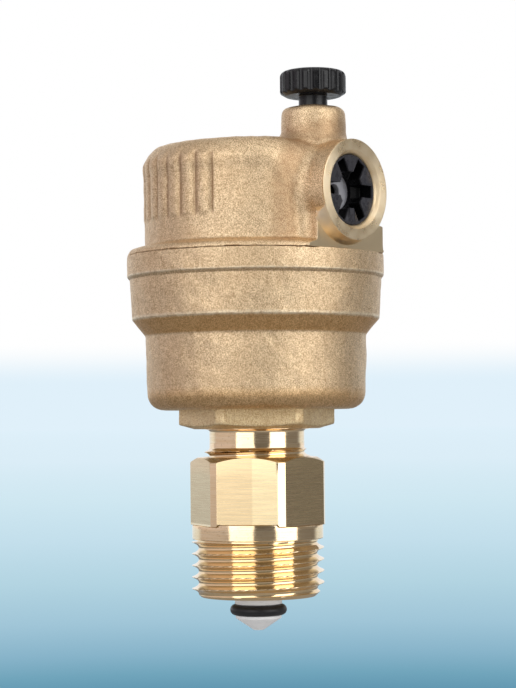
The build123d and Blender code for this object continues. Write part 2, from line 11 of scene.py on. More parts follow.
import bmesh
import bpy
import numpy as np
from mathutils import Matrix, Vector


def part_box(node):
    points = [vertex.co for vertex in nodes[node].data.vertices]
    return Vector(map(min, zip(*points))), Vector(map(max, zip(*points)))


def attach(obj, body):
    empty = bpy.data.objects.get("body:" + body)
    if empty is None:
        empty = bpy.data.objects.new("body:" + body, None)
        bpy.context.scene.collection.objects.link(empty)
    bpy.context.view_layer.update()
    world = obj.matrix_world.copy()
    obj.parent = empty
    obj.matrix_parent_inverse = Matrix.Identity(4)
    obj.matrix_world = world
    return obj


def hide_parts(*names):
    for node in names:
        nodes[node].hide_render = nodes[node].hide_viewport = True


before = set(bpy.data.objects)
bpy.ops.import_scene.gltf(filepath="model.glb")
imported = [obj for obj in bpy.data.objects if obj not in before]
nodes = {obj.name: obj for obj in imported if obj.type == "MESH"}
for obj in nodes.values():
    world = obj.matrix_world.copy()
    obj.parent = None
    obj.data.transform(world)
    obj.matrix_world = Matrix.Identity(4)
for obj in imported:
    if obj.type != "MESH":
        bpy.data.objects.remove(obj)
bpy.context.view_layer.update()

# %% [markdown]
# Shapes are worked out in millimetres, because that is how fittings are drawn, and shrunk to metres
# when they become a mesh. A surface is a grid of points. Its columns always run right round the
# piece. Its rows either close into a ring, as on a pipe with an outer and an inner wall, or end in two
# poles. The sign of the enclosed volume tells whether the faces look outwards.

# %% Skin a grid of points
MM = 0.001


def grid_faces(rows, columns, ring_of_rows):
    """Corners of each square: (row, column), (row, next), (next row, next), (next row, column)."""
    row, column = np.meshgrid(np.arange(rows if ring_of_rows else rows - 1), np.arange(columns),
                              indexing="ij")
    next_row, next_column = (row + 1) % rows, (column + 1) % columns
    corners = [row * columns + column, row * columns + next_column,
               next_row * columns + next_column, next_row * columns + column]
    return np.stack(corners, axis=-1).reshape(-1, 4)


def enclosed_volume(points, faces):
    """Sum over the faces of a . (b x c) / 6, cut into triangles from the first corner."""
    total = 0.0
    for second in range(1, faces.shape[1] - 1):
        a, b, c = points[faces[:, 0]], points[faces[:, second]], points[faces[:, second + 1]]
        total += np.einsum("ij,ij->i", a, np.cross(b, c)).sum() / 6
    return total


def print_size(piece):
    """A face of n corners counts as n - 2 triangles."""
    print(piece.name, "has", sum(len(f.vertices) - 2 for f in piece.data.polygons), "triangles")


def make_mesh(name, points, face_sets, crease=35):
    """One object from points in millimetres and face arrays, turned outwards and shaded smooth."""
    if sum(enclosed_volume(points, faces) for faces in face_sets) < 0:
        face_sets = [faces[:, ::-1] for faces in face_sets]
    mesh = bpy.data.meshes.new(name)
    mesh.from_pydata((points * MM).tolist(), [], [f for faces in face_sets for f in faces.tolist()])
    mesh.shade_smooth()
    mesh.set_sharp_from_angle(angle=radians(crease))
    piece = bpy.data.objects.new(name, mesh)
    bpy.context.scene.collection.objects.link(piece)
    print_size(piece)
    return piece


def ring_surface(name, grid, crease=35):
    """A grid of points (rows, columns, 3) whose rows and columns both close."""
    rows, columns = grid.shape[:2]
    return make_mesh(name, grid.reshape(-1, 3), [grid_faces(rows, columns, True)], crease)


def poled_surface(name, grid, crease=35):
    """A grid whose first and last rows shrink to a pole each, closed with triangles."""
    rows, columns = grid.shape[:2]
    points = np.vstack([grid.reshape(-1, 3), grid[0].mean(0), grid[-1].mean(0)])
    here, there = np.arange(columns), (np.arange(columns) + 1) % columns
    last, low, high = (rows - 1) * columns, rows * columns, rows * columns + 1
    caps = np.vstack([np.stack([there, here, np.full(columns, low)], 1),
                      np.stack([last + here, last + there, np.full(columns, high)], 1)])
    return make_mesh(name, points, [grid_faces(rows, columns, False), caps], crease)

# %% [markdown]
# Most parts are turned, so their outline is a line of corners, each with an optional rounding, that is
# swept round an axis. The outline is cut into short steps so that casting waves can show later.

# %% Outlines and turning
ARC_STEP = 0.25


def outline(corners, step, closed=True):
    """Corners (radius, height, rounding) become points: straight runs, and arcs that touch both runs."""
    corners = [tuple(c) + (0,) * (3 - len(c)) for c in corners]
    path = []
    for i, (radius, height, rounding) in enumerate(corners):
        here = np.array([radius, height], float)
        if rounding and (closed or 0 < i < len(corners) - 1):
            before = np.array(corners[i - 1][:2]) - here
            after = np.array(corners[(i + 1) % len(corners)][:2]) - here
            before, after = before / np.hypot(*before), after / np.hypot(*after)
            half = np.arccos(np.clip(before @ after, -1, 1)) / 2
            centre = here + (before + after) / np.hypot(*(before + after)) * rounding / np.sin(half)
            reach = rounding / np.tan(half)
            start, end = here + before * reach - centre, here + after * reach - centre
            turn = np.arccos(np.clip(start @ end / rounding ** 2, -1, 1))
            share = np.linspace(0, 1, max(3, int(np.ceil(turn / ARC_STEP)) + 1))[:, None]
            arc = (np.sin((1 - share) * turn) * start + np.sin(share * turn) * end) / np.sin(turn)
            path.extend(centre + arc)
        else:
            path.append(here)
    if closed:
        path.append(path[0])
    path = np.array(path)
    runs = np.hypot(*np.diff(path, axis=0).T)
    counts = np.maximum(1, np.ceil(runs / step).astype(int))
    pieces = [a + (b - a) * np.linspace(0, 1, n, endpoint=False)[:, None]
              for a, b, n in zip(path[:-1], path[1:], counts)]
    return np.vstack(pieces + ([] if closed else [path[-1:]]))


def round_angles(count):
    """Equal steps of a full turn, as one row."""
    return np.linspace(0, tau, count, endpoint=False)[None, :]


def stacked(rows, angles):
    """Rows (radius, height), each a number, a row or a grid, as one grid of radii and one of heights."""
    full = [np.broadcast_arrays(np.atleast_2d(r), np.atleast_2d(z), angles)[:2] for r, z in rows]
    return np.vstack([r for r, z in full]), np.vstack([z for r, z in full])


def turn_about_z(radii, heights, angles, centre_x=0):
    """Points (centre + radius * cos, radius * sin, height) for arrays rows by columns."""
    return np.stack([centre_x + radii * np.cos(angles), radii * np.sin(angles), heights + 0 * angles],
                    axis=-1)


def rise(values, low, high):
    """0 below low, 1 above high and 3s^2 - 2s^3 between, where s is the share of the way."""
    share = np.clip((values - low) / (high - low), 0, 1)
    return share * share * (3 - 2 * share)

# %% [markdown]
# The inlet carries a right-handed pipe thread of 1.814 mm pitch. A helical ridge is a wave in height
# whose crest climbs one pitch per turn, so the radius depends only on height / pitch minus
# angle / full turn. The photograph shows narrow crests and wide rounded grooves, so the flank is
# steep at the crest and eases into the groove.

# %% Thread wave and hexagon
CREST_FLAT = 0.05


def thread_radius(heights, angles, crest, pitch, depth, crest_at, ease=2.3):
    """crest - depth * (1 - (1 - t)^ease), where t is 0 on the crest and 1 half a pitch away."""
    share = np.mod(heights / pitch - angles / tau - crest_at, 1)
    away = np.clip(2 * np.minimum(share, 1 - share) - CREST_FLAT, 0, 1) / (1 - CREST_FLAT)
    return crest - depth * (1 - (1 - away) ** ease)


def hexagon_radius(angles, flats, corner_radius, turn):
    """Distance to the nearest flat, (flats / 2) / cos(angle from it), cut at the turned corners."""
    off = np.mod(angles - radians(turn) + pi / 6, pi / 3) - pi / 6
    return np.minimum(flats / 2 / np.cos(off), corner_radius)

# %% [markdown]
# The check valve's body is one closed surface: up the outside over thread, collar and hexagon, then
# down the inside through the nipple's socket, the spring room and the plunger's guide. The front flat
# and the one behind it were milled less far down than the others, so the collar is taller there.

# %% Check valve body
FLATS, CORNER, VALVE_TURN, VALVE_TOP = 19.0, 10.62, 1.8, 12.8
CHAMFER_END, CHAMFER_SLOPE = 9.35, 0.62
INLET_LOW, INLET_HIGH, INLET_CREST, INLET_PITCH, INLET_DEPTH = -9.0, -0.42, 10.38, 1.814, 1.06
COLLAR, COLLAR_TOP, FRONT_STEP, FRONT_FLAT = 10.29, 2.17, 0.33, -58.2
flat_half = np.degrees(np.arccos(FLATS / 2 / CORNER))
sector = np.concatenate([np.linspace(-flat_half, flat_half, 39),
                         np.linspace(flat_half, 60 - flat_half, 11)[1:-1]])
valve_angles = np.radians(VALVE_TURN + (sector[None, :] + 60 * np.arange(6)[:, None]).ravel())[None, :]
hexagon = hexagon_radius(valve_angles, FLATS, CORNER, VALVE_TURN)


def valve_rows():
    """Rows (radius, height) from the inlet's mouth up the outside and back down the inside."""
    threaded = np.arange(INLET_LOW, INLET_HIGH, 0.045)[:, None]
    crest = thread_radius(threaded, valve_angles, INLET_CREST, INLET_PITCH, INLET_DEPTH, 0.117)
    lead_in = 8.95 + (threaded - INLET_LOW) * 1.1
    rows = [(5.75, INLET_LOW), (np.minimum(crest[:1], 8.85) - 0.05, INLET_LOW)]
    rows += [(np.minimum(crest, lead_in), threaded)]
    rows += [(9.5, -0.34), (9.5, -0.1), (9.75, 0.0), (10.2, 0.02), (COLLAR, 0.12), (COLLAR, 0.9)]
    low = COLLAR_TOP + FRONT_STEP * rise(np.cos(2 * (valve_angles - radians(FRONT_FLAT))), 0.56, 0.61)
    rows += [(COLLAR, 1.6), (COLLAR, low - 0.14), (COLLAR - 0.02, low - 0.06),
             (COLLAR - 0.08, low - 0.01)]
    rows += [(np.minimum(9.45, hexagon - 0.04), low), (hexagon - 0.02, low + 0.02),
             (hexagon, low + 0.06), (hexagon, low + 0.12)]
    edge = VALVE_TOP - (hexagon - CHAMFER_END) * CHAMFER_SLOPE
    rows += [(hexagon, low + 0.12 + (edge - low - 0.12) * share) for share in (0.25, 0.5, 0.75, 0.985)]
    rows += [(hexagon - 0.05, edge + 0.02), (CHAMFER_END, VALVE_TOP - 0.02), (9.2, VALVE_TOP)]
    rows += [(8.75, VALVE_TOP), (8.4, VALVE_TOP - 0.35), (8.381, 4.85), (7.52, 4.8), (7.52, 2.54)]
    return rows + [(6.8, 2.54), (6.8, -4.4), (4.2, -4.4), (4.2, -7.75), (5.35, -8.9)]


valve_grid = turn_about_z(*stacked(valve_rows(), valve_angles), valve_angles)
valve_body = ring_surface("check_valve_brass", valve_grid, crease=24)
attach(valve_body, "check_valve")
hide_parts("check_valve_body")

# %% [markdown]
# The nipple under the bowl is turned after casting, so it is bright while the bowl is matt, and a piece
# of its own. Its thread shows for one turn above the hexagon, and all of it when the vent is unscrewed.

# %% Nipple
NIPPLE_LOW, NIPPLE_HIGH, NIPPLE_CREST, NIPPLE_PITCH, NIPPLE_DEPTH = 5.1, 14.12, 8.331, 1.3368, 0.856
nipple_angles = round_angles(240)
thread_z = np.arange(NIPPLE_LOW, NIPPLE_HIGH, 0.05)[:, None]
ridge = thread_radius(thread_z, nipple_angles, NIPPLE_CREST, NIPPLE_PITCH, NIPPLE_DEPTH, 0.55)
ridge = np.minimum(ridge, 7.5 + (thread_z - NIPPLE_LOW))
ridge = np.minimum(ridge, 7.55 + np.clip(NIPPLE_HIGH - thread_z, 0, None) * 2.2)
below_thread = [(4.75, 2.6), (7.35, 2.6), (7.45, 2.7), (7.45, 2.98), (5.98, 3.02), (5.98, 4.5),
                (7.45, 4.56), (7.45, 5.05)]
above_thread = [(7.5, 14.2), (7.47, 14.3), (7.47, 15.0), (7.47, 15.8), (7.47, 16.6), (7.47, 16.8),
                (7.52, 16.92), (7.66, 17.02), (7.9, 17.1), (8.2, 17.15), (8.2, 17.6), (4.6, 17.6),
                (4.6, 2.75)]
nipple_rows = [*below_thread, (ridge, thread_z), *above_thread]
nipple_grid = turn_about_z(*stacked(nipple_rows, nipple_angles), nipple_angles)
nipple = ring_surface("turned_nipple", nipple_grid)
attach(nipple, "vent")

# %% [markdown]
# Sand leaves a casting slightly uneven. A sum of sine waves in random directions, a few millimetres
# long and some hundredths high, moves each point along its surface. The same waves serve bowl and cap.
# The grain that is finer than this belongs to the material.

# %% Casting waves
chance = np.random.default_rng(12)
WAVES = 30
wave_ways = chance.normal(size=(WAVES, 3))
wave_ways /= np.linalg.norm(wave_ways, axis=1)[:, None]
wave_lengths = np.geomspace(1.3, 9.0, WAVES)
wave_starts = chance.uniform(0, tau, WAVES)


def casting_waves(points, height):
    """height * sum over waves of length^0.6 * sin(tau * way . point / length + start), made unit."""
    share = wave_lengths ** 0.6
    phase = points @ (wave_ways * (tau / wave_lengths)[:, None]).T + wave_starts
    return height * (np.sin(phase) @ share) / np.sqrt((share ** 2).sum() / 2)


print(WAVES, "waves,", wave_lengths.min().round(2), "to", wave_lengths.max().round(2), "mm long")

# %% [markdown]
# The bowl and the hexagon under it are one casting: a turned outline whose lowest part is pulled out
# to a hexagon. Underneath, the hexagon was turned to a shallow cone, which takes its lower corners off.
# The upper edge wavers a little, because the seam to the cap is a hand-finished line.

# %% Float chamber
BODY_FLATS, BODY_CORNER, BODY_TURN, BODY_LOW = 22.0, 12.3, 13.8, 17.2
UNDERSIDE, HEX_LINE, CONE_START, CONE_SLOPE, CONE_ROUNDING = 8.0, 11.0, 9.8, 3.8, 0.3
BOWL_WAVE, BOWL_SET_BACK, EDGE_WAVE = 0.035, 0.05, 0.05
bowl_angles = round_angles(384)
hexagon_rows = [(HEX_LINE, BODY_LOW + 0.1 * step) for step in range(9)]
bowl_line = outline([(UNDERSIDE, BODY_LOW), *hexagon_rows, (HEX_LINE, 20.2, 0.25), (17.2, 20.2, 2.7),
                     (17.4, 31.85, 0.8), (19.55, 34.4, 0.5), (19.86, 40.62, 0.15),
                     (20.29, 41.1, 0.3), (20.29, 44.3, 0.12), (19.0, 44.3), (19.0, 42.4), (18.0, 42.4),
                     (18.0, 37.5), (17.65, 37.5), (17.65, 35.0), (15.5, 32.45), (15.5, 22.5, 1.5),
                     (4.6, 22.5), (4.6, 17.4), (UNDERSIDE, 17.4)], 0.42)
line_r, line_z = bowl_line[:, :1], bowl_line[:, 1:2]
print("outline of the bowl has", len(bowl_line), "points")

# %% Bowl with its hexagon
body_hexagon = hexagon_radius(bowl_angles, BODY_FLATS, BODY_CORNER, BODY_TURN)
turned_cone = CONE_START + (line_z - BODY_LOW) * CONE_SLOPE
lesser = (body_hexagon + turned_cone - np.hypot(body_hexagon - turned_cone, CONE_ROUNDING)) / 2
on_hexagon = (line_r > UNDERSIDE + 0.01) & (line_r <= HEX_LINE + 0.3) & (line_z < 20.25)
out_share = np.clip((line_r - UNDERSIDE) / (HEX_LINE - UNDERSIDE), 0, 1)
bowl_r = np.where(on_hexagon, UNDERSIDE + (lesser - UNDERSIDE) * out_share, line_r + 0 * bowl_angles)
bowl_grid = turn_about_z(bowl_r, line_z, bowl_angles)
outside = ((line_r > 8.5) & (line_z > 17.3) & ((line_r > 19.1) | (line_z < 41))
           & ~((line_r < 15.6) & (line_z > 20.6)) & ~((line_r < 18.1) & (line_z > 34.9)))
push = casting_waves(bowl_grid.reshape(-1, 3), BOWL_WAVE).reshape(bowl_r.shape) * outside
bowl_grid = turn_about_z(bowl_r + push - BOWL_SET_BACK * outside, line_z, bowl_angles)
edge_waver = casting_waves(bowl_grid.reshape(-1, 3) * 1.7, EDGE_WAVE).reshape(bowl_r.shape)
bowl_grid[..., 2] += np.where((line_z > 43.9) & (line_r > 19.2), np.minimum(edge_waver, 0.0), 0)
bowl = ring_surface("cast_bowl", bowl_grid, crease=50)
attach(bowl, "vent")
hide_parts("float_chamber")

# %% [markdown]
# The cap has a boss, an outlet with a foot, and blends between them that no single grid can follow.
# So it starts from a copy of the CAD solid. Its inner room and air way are plugged, a voxel remesh turns
# it into an even skin, and smoothing takes the facets off.

# %% Merge a copy of a CAD solid
def merged_copy(node, name, plugs=()):
    """A copy of a node's loose triangles with their shared corners merged, plus upright cylinders."""
    shape = bmesh.new()
    shape.from_mesh(nodes[node].data)
    bmesh.ops.remove_doubles(shape, verts=shape.verts, dist=2e-6)
    for radius, low, high, x in plugs:
        place = Matrix.Translation(Vector((x, 0, (low + high) / 2)) * MM)
        bmesh.ops.create_cone(shape, cap_ends=True, segments=96, radius1=radius * MM,
                              radius2=radius * MM, depth=(high - low) * MM, matrix=place)
    mesh = bpy.data.meshes.new(name)
    shape.to_mesh(mesh)
    shape.free()
    piece = bpy.data.objects.new(name, mesh)
    bpy.context.scene.collection.objects.link(piece)
    return piece


def apply_modifiers(piece):
    """Replace the piece's mesh by what its modifiers make of it."""
    graph = bpy.context.evaluated_depsgraph_get()
    made = bpy.data.meshes.new_from_object(piece.evaluated_get(graph), depsgraph=graph)
    piece.modifiers.clear()
    old, piece.data = piece.data, made
    bpy.data.meshes.remove(old)


def vectors(items, key):
    """One vector of each vertex or normal of a mesh, as an array."""
    values = np.empty(len(items) * 3, np.float32)
    items.foreach_get(key, values)
    return values.reshape(-1, 3).astype(float)


def put_back(piece, points, crease):
    """Move a mesh's vertices to points in millimetres and shade it smooth up to the crease angle."""
    piece.data.vertices.foreach_set("co", (points * MM).astype(np.float32).ravel())
    piece.data.shade_smooth()
    piece.data.set_sharp_from_angle(angle=radians(crease))
    piece.data.update()
    print_size(piece)

# %% Cap casting
SEAM, SPOT_FACE, OUTLET_Z, RING, SCREW_X, VOXEL = 44.3, 18.4, 53.3, 7.7, 12.2, 0.23
ROOM_PLUG, AIR_WAY_PLUG = (17.5, 37.7, 38.9, 0), (2.7, 45.7, 51.4, SCREW_X)
cap = merged_copy("cap", "cast_cap", plugs=[ROOM_PLUG, AIR_WAY_PLUG])
remesh = cap.modifiers.new("even_skin", "REMESH")
remesh.mode = "VOXEL"
remesh.voxel_size = VOXEL * MM
smooth = cap.modifiers.new("smooth", "SMOOTH")
smooth.factor, smooth.iterations = 0.5, 4
apply_modifiers(cap)
print("even skin has", len(cap.data.vertices), "points")

# %% [markdown]
# The float, its lid and the lever rise into the cap, so the plugged skin needs a room again. It is cut
# off level just below the seam, where the spigot hides in the bowl. A round room, flat beside the
# nozzle's block, is joined to it, and the gap between the two rims is filled. The count of open edges
# shows whether the surface is closed.

# %% Cap room
CAP_END, ROOM, ROOM_TOP, BLOCK_LOW, BLOCK_HALF_WIDTH = SEAM - 0.35, 15.5, 58.7, 46.0, 6.0
block_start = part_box("lever_bracket")[0][0] / MM - 0.3
room_angles = round_angles(120)
facing_block = np.cos(room_angles) > np.abs(np.sin(room_angles)) * block_start / BLOCK_HALF_WIDTH
room_wall = np.where(facing_block, block_start / np.maximum(np.cos(room_angles), 0.1), ROOM)
room_rows = [(ROOM, CAP_END), (ROOM, BLOCK_LOW), (room_wall, BLOCK_LOW), (room_wall, ROOM_TOP - 2.5),
             (room_wall - 0.7, ROOM_TOP - 0.7), (room_wall - 2.5, ROOM_TOP), (0.1 * room_wall, ROOM_TOP)]
room_grid = turn_about_z(*stacked(room_rows, room_angles), room_angles)
room_faces = grid_faces(len(room_rows), room_angles.size, False).tolist()
lid = list(range((len(room_rows) - 1) * room_angles.size, len(room_rows) * room_angles.size))
room_mesh = bpy.data.meshes.new("room")
room_mesh.from_pydata((room_grid.reshape(-1, 3) * MM).tolist(), [], room_faces + [lid])
print("room has", len(room_mesh.polygons), "faces")

# %% Join the room to the skin
shape = bmesh.new()
shape.from_mesh(cap.data)
whole = shape.verts[:] + shape.edges[:] + shape.faces[:]
bmesh.ops.bisect_plane(shape, geom=whole, dist=1e-7, plane_co=(0, 0, CAP_END * MM),
                       plane_no=(0, 0, 1), clear_inner=True)
shape.from_mesh(room_mesh)
bmesh.ops.triangle_fill(shape, use_beauty=True, edges=[e for e in shape.edges if e.is_boundary],
                        normal=(0, 0, -1))
bmesh.ops.recalc_face_normals(shape, faces=shape.faces)
print("open edges of the cap", sum(not e.is_manifold for e in shape.edges))
shape.to_mesh(cap.data)
shape.free()
bpy.data.meshes.remove(room_mesh)

# %% [markdown]
# Now the skin is corrected in numbers. The wall takes its drawn radius plus the grip ribs, soft bars
# that stop short of the foot and the shoulder.

# %% Cap wall and ribs
RIB_START, RIB_COUNT, RIB_LOW, RIB_HIGH = 70.4, 23, 49.2, 59.6
RIB_HEIGHT, RIB_GROOVE, PAST_RIBS = 0.16, 0.2, 4.0
SHOULDER_IN, SHOULDER_WIDTH, SHOULDER_LOW, SHOULDER_HEIGHT = 14.9, 2.5, 56.0, 4.9
WALL_LOW, WALL_HIGH, WALL_NEAR = 46.9, 60.0, 0.5


def wall_radius(heights):
    """A straight wall, then a quarter ellipse: inner radius + width * sqrt(1 - (rise / height)^2)."""
    share = np.clip((heights - SHOULDER_LOW) / SHOULDER_HEIGHT, 0, 0.98)
    return SHOULDER_IN + SHOULDER_WIDTH * np.sqrt(1 - share ** 2)


def rib_relief(degrees, heights):
    """Bars 1 - |2s - 1|^2.6 across, where s is the share of a step, with a narrow groove between two."""
    place = (degrees - RIB_START) / (360 - 2 * RIB_START) * RIB_COUNT
    bar = 1 - np.abs(2 * np.mod(place, 1) - 1) ** 2.6
    ends = rise(heights, RIB_LOW, RIB_LOW + 1.0) * (1 - rise(heights, RIB_HIGH - 1.2, RIB_HIGH))
    barred = rise(place, -0.12, 0) * rise(-place, -RIB_COUNT - 0.12, -RIB_COUNT)
    return (RIB_HEIGHT * bar - RIB_GROOVE * (1 - bar)) * ends * barred


at = vectors(cap.data.vertices, "co") / MM
normal = vectors(cap.data.vertex_normals, "vector")
degrees_round = np.degrees(np.mod(np.arctan2(at[:, 1], at[:, 0]), tau))
from_middle = np.hypot(at[:, 0], at[:, 1])
on_wall = ((np.abs(degrees_round - 180) < 180 - RIB_START + PAST_RIBS)
           & (at[:, 2] > WALL_LOW) & (at[:, 2] < WALL_HIGH)
           & (np.abs(from_middle - wall_radius(at[:, 2])) < WALL_NEAR))
wanted = wall_radius(at[:, 2]) + rib_relief(degrees_round, at[:, 2])
at[:, :2] *= np.where(on_wall, wanted / np.maximum(from_middle, 1), 1)[:, None]
print("points on the ribbed wall", on_wall.sum())

# %% [markdown]
# The shoulder is fuller than the solid's and the boss a little higher. The boss also widens towards its
# foot, its bore is opened for the closing screw, and the lug beside the outlet is a little wider. Each
# of these is a smooth mask in space times a small move.

# %% Cap shoulder, boss and lug
FULLER, FULLER_OUT, LUG_OUT = 0.36, 0.14, 0.6
BOSS_LIFT, FLARE, DRAFT, SCREW_BORE = 0.2, 0.45, 0.12, 2.6
from_screw = np.hypot(at[:, 0] - SCREW_X, at[:, 1])
fuller = rise(at[:, 2], 56.0, 58.8) * rise(from_screw, 5.6, 8.0) * (1 - rise(at[:, 0], 12.0, 15.5))
at += normal * (fuller * (FULLER + FULLER_OUT * rise(from_middle, 6.0, 13.0)))[:, None]
at[:, 2] += BOSS_LIFT * rise(at[:, 2], 63.0, 65.0)
on_boss = rise(at[:, 2], 60.2, 61.4) * rise(from_screw, 3.6, 4.4) * (1 - rise(from_screw, 5.7, 8.0))
flared = (FLARE - 0.04 * (at[:, 0] - SCREW_X)) * (1 - rise(at[:, 2], 60.9, 63.0))
wider = flared + DRAFT * (1 - rise(at[:, 2], 61.0, 66.0)) - 0.08
from_boss = at[:, :2] - (SCREW_X, 0)
at[:, :2] += from_boss * (on_boss * wider / np.maximum(from_screw, 1))[:, None]
in_screw_bore = (from_screw < 3.0) & (from_screw > 1.9) & (at[:, 2] > 55.2) & (at[:, 2] < 66.2)
opened = from_boss * (SCREW_BORE / np.maximum(from_screw, 1) - 1)[:, None]
at[in_screw_bore, :2] += opened[in_screw_bore]
on_lug = rise(at[:, 0], 12.0, 16.0) * rise(at[:, 1], 7.0, 8.4) * (1 - rise(at[:, 2], 48.0, 50.5))
at[:, 1] += LUG_OUT * on_lug * (1 - rise(at[:, 1], 9.0, 11.0))
print("points in the screw's bore", in_screw_bore.sum())

# %% [markdown]
# Last the machined faces are put back onto their planes and the outlet's bore onto its radius, out of
# the way of the turned ring that follows. The casting waves move all the rest, and the lower edge
# wavers like the bowl's.

# %% Cap machined faces and casting waves
BORE_ROOM, BARREL_END, CAP_WAVE, CAP_SET_BACK = 5.9, 20.15, 0.028, 0.05
from_outlet = np.hypot(at[:, 1], at[:, 2] - OUTLET_Z)
on_spot_face = (np.abs(at[:, 0] - SPOT_FACE) < 0.25) & (from_outlet > RING - 0.1)
at[on_spot_face, 0] = SPOT_FACE
in_bore = (at[:, 0] > 15.0) & (from_outlet < 6.0) & (from_outlet > 4.6)
squeeze = np.where(in_bore, BORE_ROOM / np.maximum(from_outlet, 1), 1)
at[:, 1] *= squeeze
at[:, 2] = OUTLET_Z + (at[:, 2] - OUTLET_Z) * squeeze
at[:, 0] = np.minimum(at[:, 0], BARREL_END)
unmilled = 1 - rise(at[:, 0], SPOT_FACE - 0.9, SPOT_FACE - 0.1)
as_cast = np.maximum(unmilled, 0.5 * rise(at[:, 2], 52.0, 54.0))
as_cast *= rise(at[:, 2], SEAM, SEAM + 0.3) * rise(np.hypot(at[:, 0] - SCREW_X, at[:, 1]), 2.7, 3.7)
at += normal * ((casting_waves(at, CAP_WAVE) - CAP_SET_BACK) * as_cast)[:, None]
low_edge = (at[:, 2] < SEAM + 0.2) & (at[:, 2] > SEAM - 0.15) & (np.hypot(at[:, 0], at[:, 1]) > 18.5)
at[:, 2] += np.where(low_edge, np.maximum(casting_waves(at * 2.1, 0.035), 0), 0)
put_back(cap, at, 50)
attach(cap, "vent")
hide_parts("cap")

# %% [markdown]
# The outlet's ring was faced and bored on a lathe, so it is a crisp turned piece about X that covers
# the remeshed one: outer wall, face with small edge breaks, a countersink and the bore. On its lower
# side, where the foot was milled away, the wall spreads towards the spot face. On the upper side it
# sinks into the cast barrel.

# %% Outlet ring
RING_FACE, RING_SPREAD, RING_SUNK = 20.4, 0.7, 0.4
ring_line = outline([(RING, 18.2), (RING, RING_FACE, 0.1), (6.05, RING_FACE, 0.08), (5.62, 19.95, 0.1),
                     (5.42, 19.55), (5.42, 15.3), (6.3, 15.3), (6.6, 18.2)], 0.4)
ring_angles = round_angles(192)
ring_r, ring_x = ring_line[:, :1], ring_line[:, 1:2]
milled_side = rise(-np.sin(ring_angles), 0.28, 0.6)
outer_wall = ring_r > RING - 0.1
spread = np.clip((20.2 - ring_x) / 2.0, 0, 1) * outer_wall
sunk = np.clip((20.35 - 2.2 * milled_side - ring_x) / 0.25, 0, 1) * outer_wall
ring_r = ring_r + RING_SPREAD * spread * milled_side - RING_SUNK * sunk
ring_grid = np.stack([ring_x + 0 * ring_angles, ring_r * np.cos(ring_angles),
                      OUTLET_Z + ring_r * np.sin(ring_angles)], axis=-1)
outlet_ring = ring_surface("turned_outlet_ring", ring_grid)
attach(outlet_ring, "vent")

# %% [markdown]
# The knob is moulded with twenty shallow flutes. Each flute is the cut of a small round cutter, so the
# radius is the outline's, or the flute's where that is smaller. The neck and thread below it are part
# of the same moulding and hide in the boss.

# %% Closing screw
KNOB, KNOB_LOW, KNOB_TOP, FLUTES, CUTTER, CUTTER_OUT = 5.1, 68.35, 72.2, 20, 0.55, 0.22
SHANK, NECK = 2.45, 2.22
knob_angles = round_angles(FLUTES * 16)
half_step = pi / FLUTES
across = KNOB * (np.mod(knob_angles + half_step, 2 * half_step) - half_step)
cut = np.clip(np.sqrt(np.clip(CUTTER ** 2 - across ** 2, 0, None)) - CUTTER_OUT, 0, None)
screw_line = outline([(0.6, 53.36), (1.5, 54.26), (1.5, 57.86), (SHANK, 57.86), (SHANK, 58.26),
                      (1.43, 58.26), (1.43, 59.3), (SHANK, 59.3), (SHANK, 65.2, 0.1), (NECK, 65.25),
                      (NECK, KNOB_LOW, 0.15), (KNOB - 0.85, KNOB_LOW, 0.4), (KNOB, KNOB_LOW + 0.5, 0.4),
                      (KNOB, KNOB_TOP, 0.9), (0.3, KNOB_TOP)], 0.3, closed=False)
screw_r, screw_z = screw_line[:, :1], screw_line[:, 1:2]
fluted_r = np.where(screw_z > KNOB_LOW - 0.01, np.minimum(screw_r, KNOB - cut), screw_r + 0 * cut)
knob = poled_surface("fluted_knob", turn_about_z(fluted_r, screw_z, knob_angles, SCREW_X))
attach(knob, "closing_screw")
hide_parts("closing_screw")

# %% [markdown]
# The plunger's foot is a moulded cone that carries a rubber ring. The foot is turned about Z with two
# poles. The cross-shaped guide above it is the same outline at every height, carried up along Z.

# %% Plunger
WING_REACH, WING_HALF, WING_CORE, WING_LOW, WING_HIGH = 4.15, 0.7, 1.1, -8.45, 1.18
foot_line = outline([(0.35, -14.29), (0.8, -14.27, 0.25), (3.6, -12.39, 0.3), (3.6, -11.99),
                     (2.65, -11.95), (2.65, -10.25), (3.7, -10.21, 0.12), (3.7, -8.41, 0.12),
                     (0.3, -8.41)], 0.4, closed=False)
foot_angles = round_angles(120)
foot = poled_surface("plunger_foot", turn_about_z(foot_line[:, :1] + 0 * foot_angles, foot_line[:, 1:2],
                                                  foot_angles))
cross_angles = round_angles(160)
off_wing = np.abs(np.mod(cross_angles + pi / 4, pi / 2) - pi / 4)
cross = np.clip(WING_HALF / np.maximum(np.sin(off_wing), 1e-3), WING_CORE, WING_REACH)
guide_z = np.linspace(WING_LOW, WING_HIGH, 12)[:, None]
wings = poled_surface("plunger_wings", turn_about_z(cross + 0 * guide_z, guide_z, cross_angles))
for piece in (foot, wings):
    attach(piece, "plunger")
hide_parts("plunger")

# %% Plunger ring
SEAL_R, SEAL_Z, SEAL_WIDE, SEAL_HIGH = 3.56, -11.1, 0.89, 0.86
section = np.linspace(0, tau, 40, endpoint=False)[:, None]
seal_r = SEAL_R + SEAL_WIDE * np.cos(section) + 0 * foot_angles
seal_grid = turn_about_z(seal_r, SEAL_Z + SEAL_HIGH * np.sin(section), foot_angles)
seal = ring_surface("plunger_ring", seal_grid)
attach(seal, "plunger")
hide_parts("plunger_seal")

# %% [markdown]
# The insert's six slots and socket are straight cuts, which a grid would blur. The CAD shape is right,
# so a merged copy gets narrow bevels, which catch the light as moulded edges do. Its face stands a
# little nearer the ring's face than in the solid.

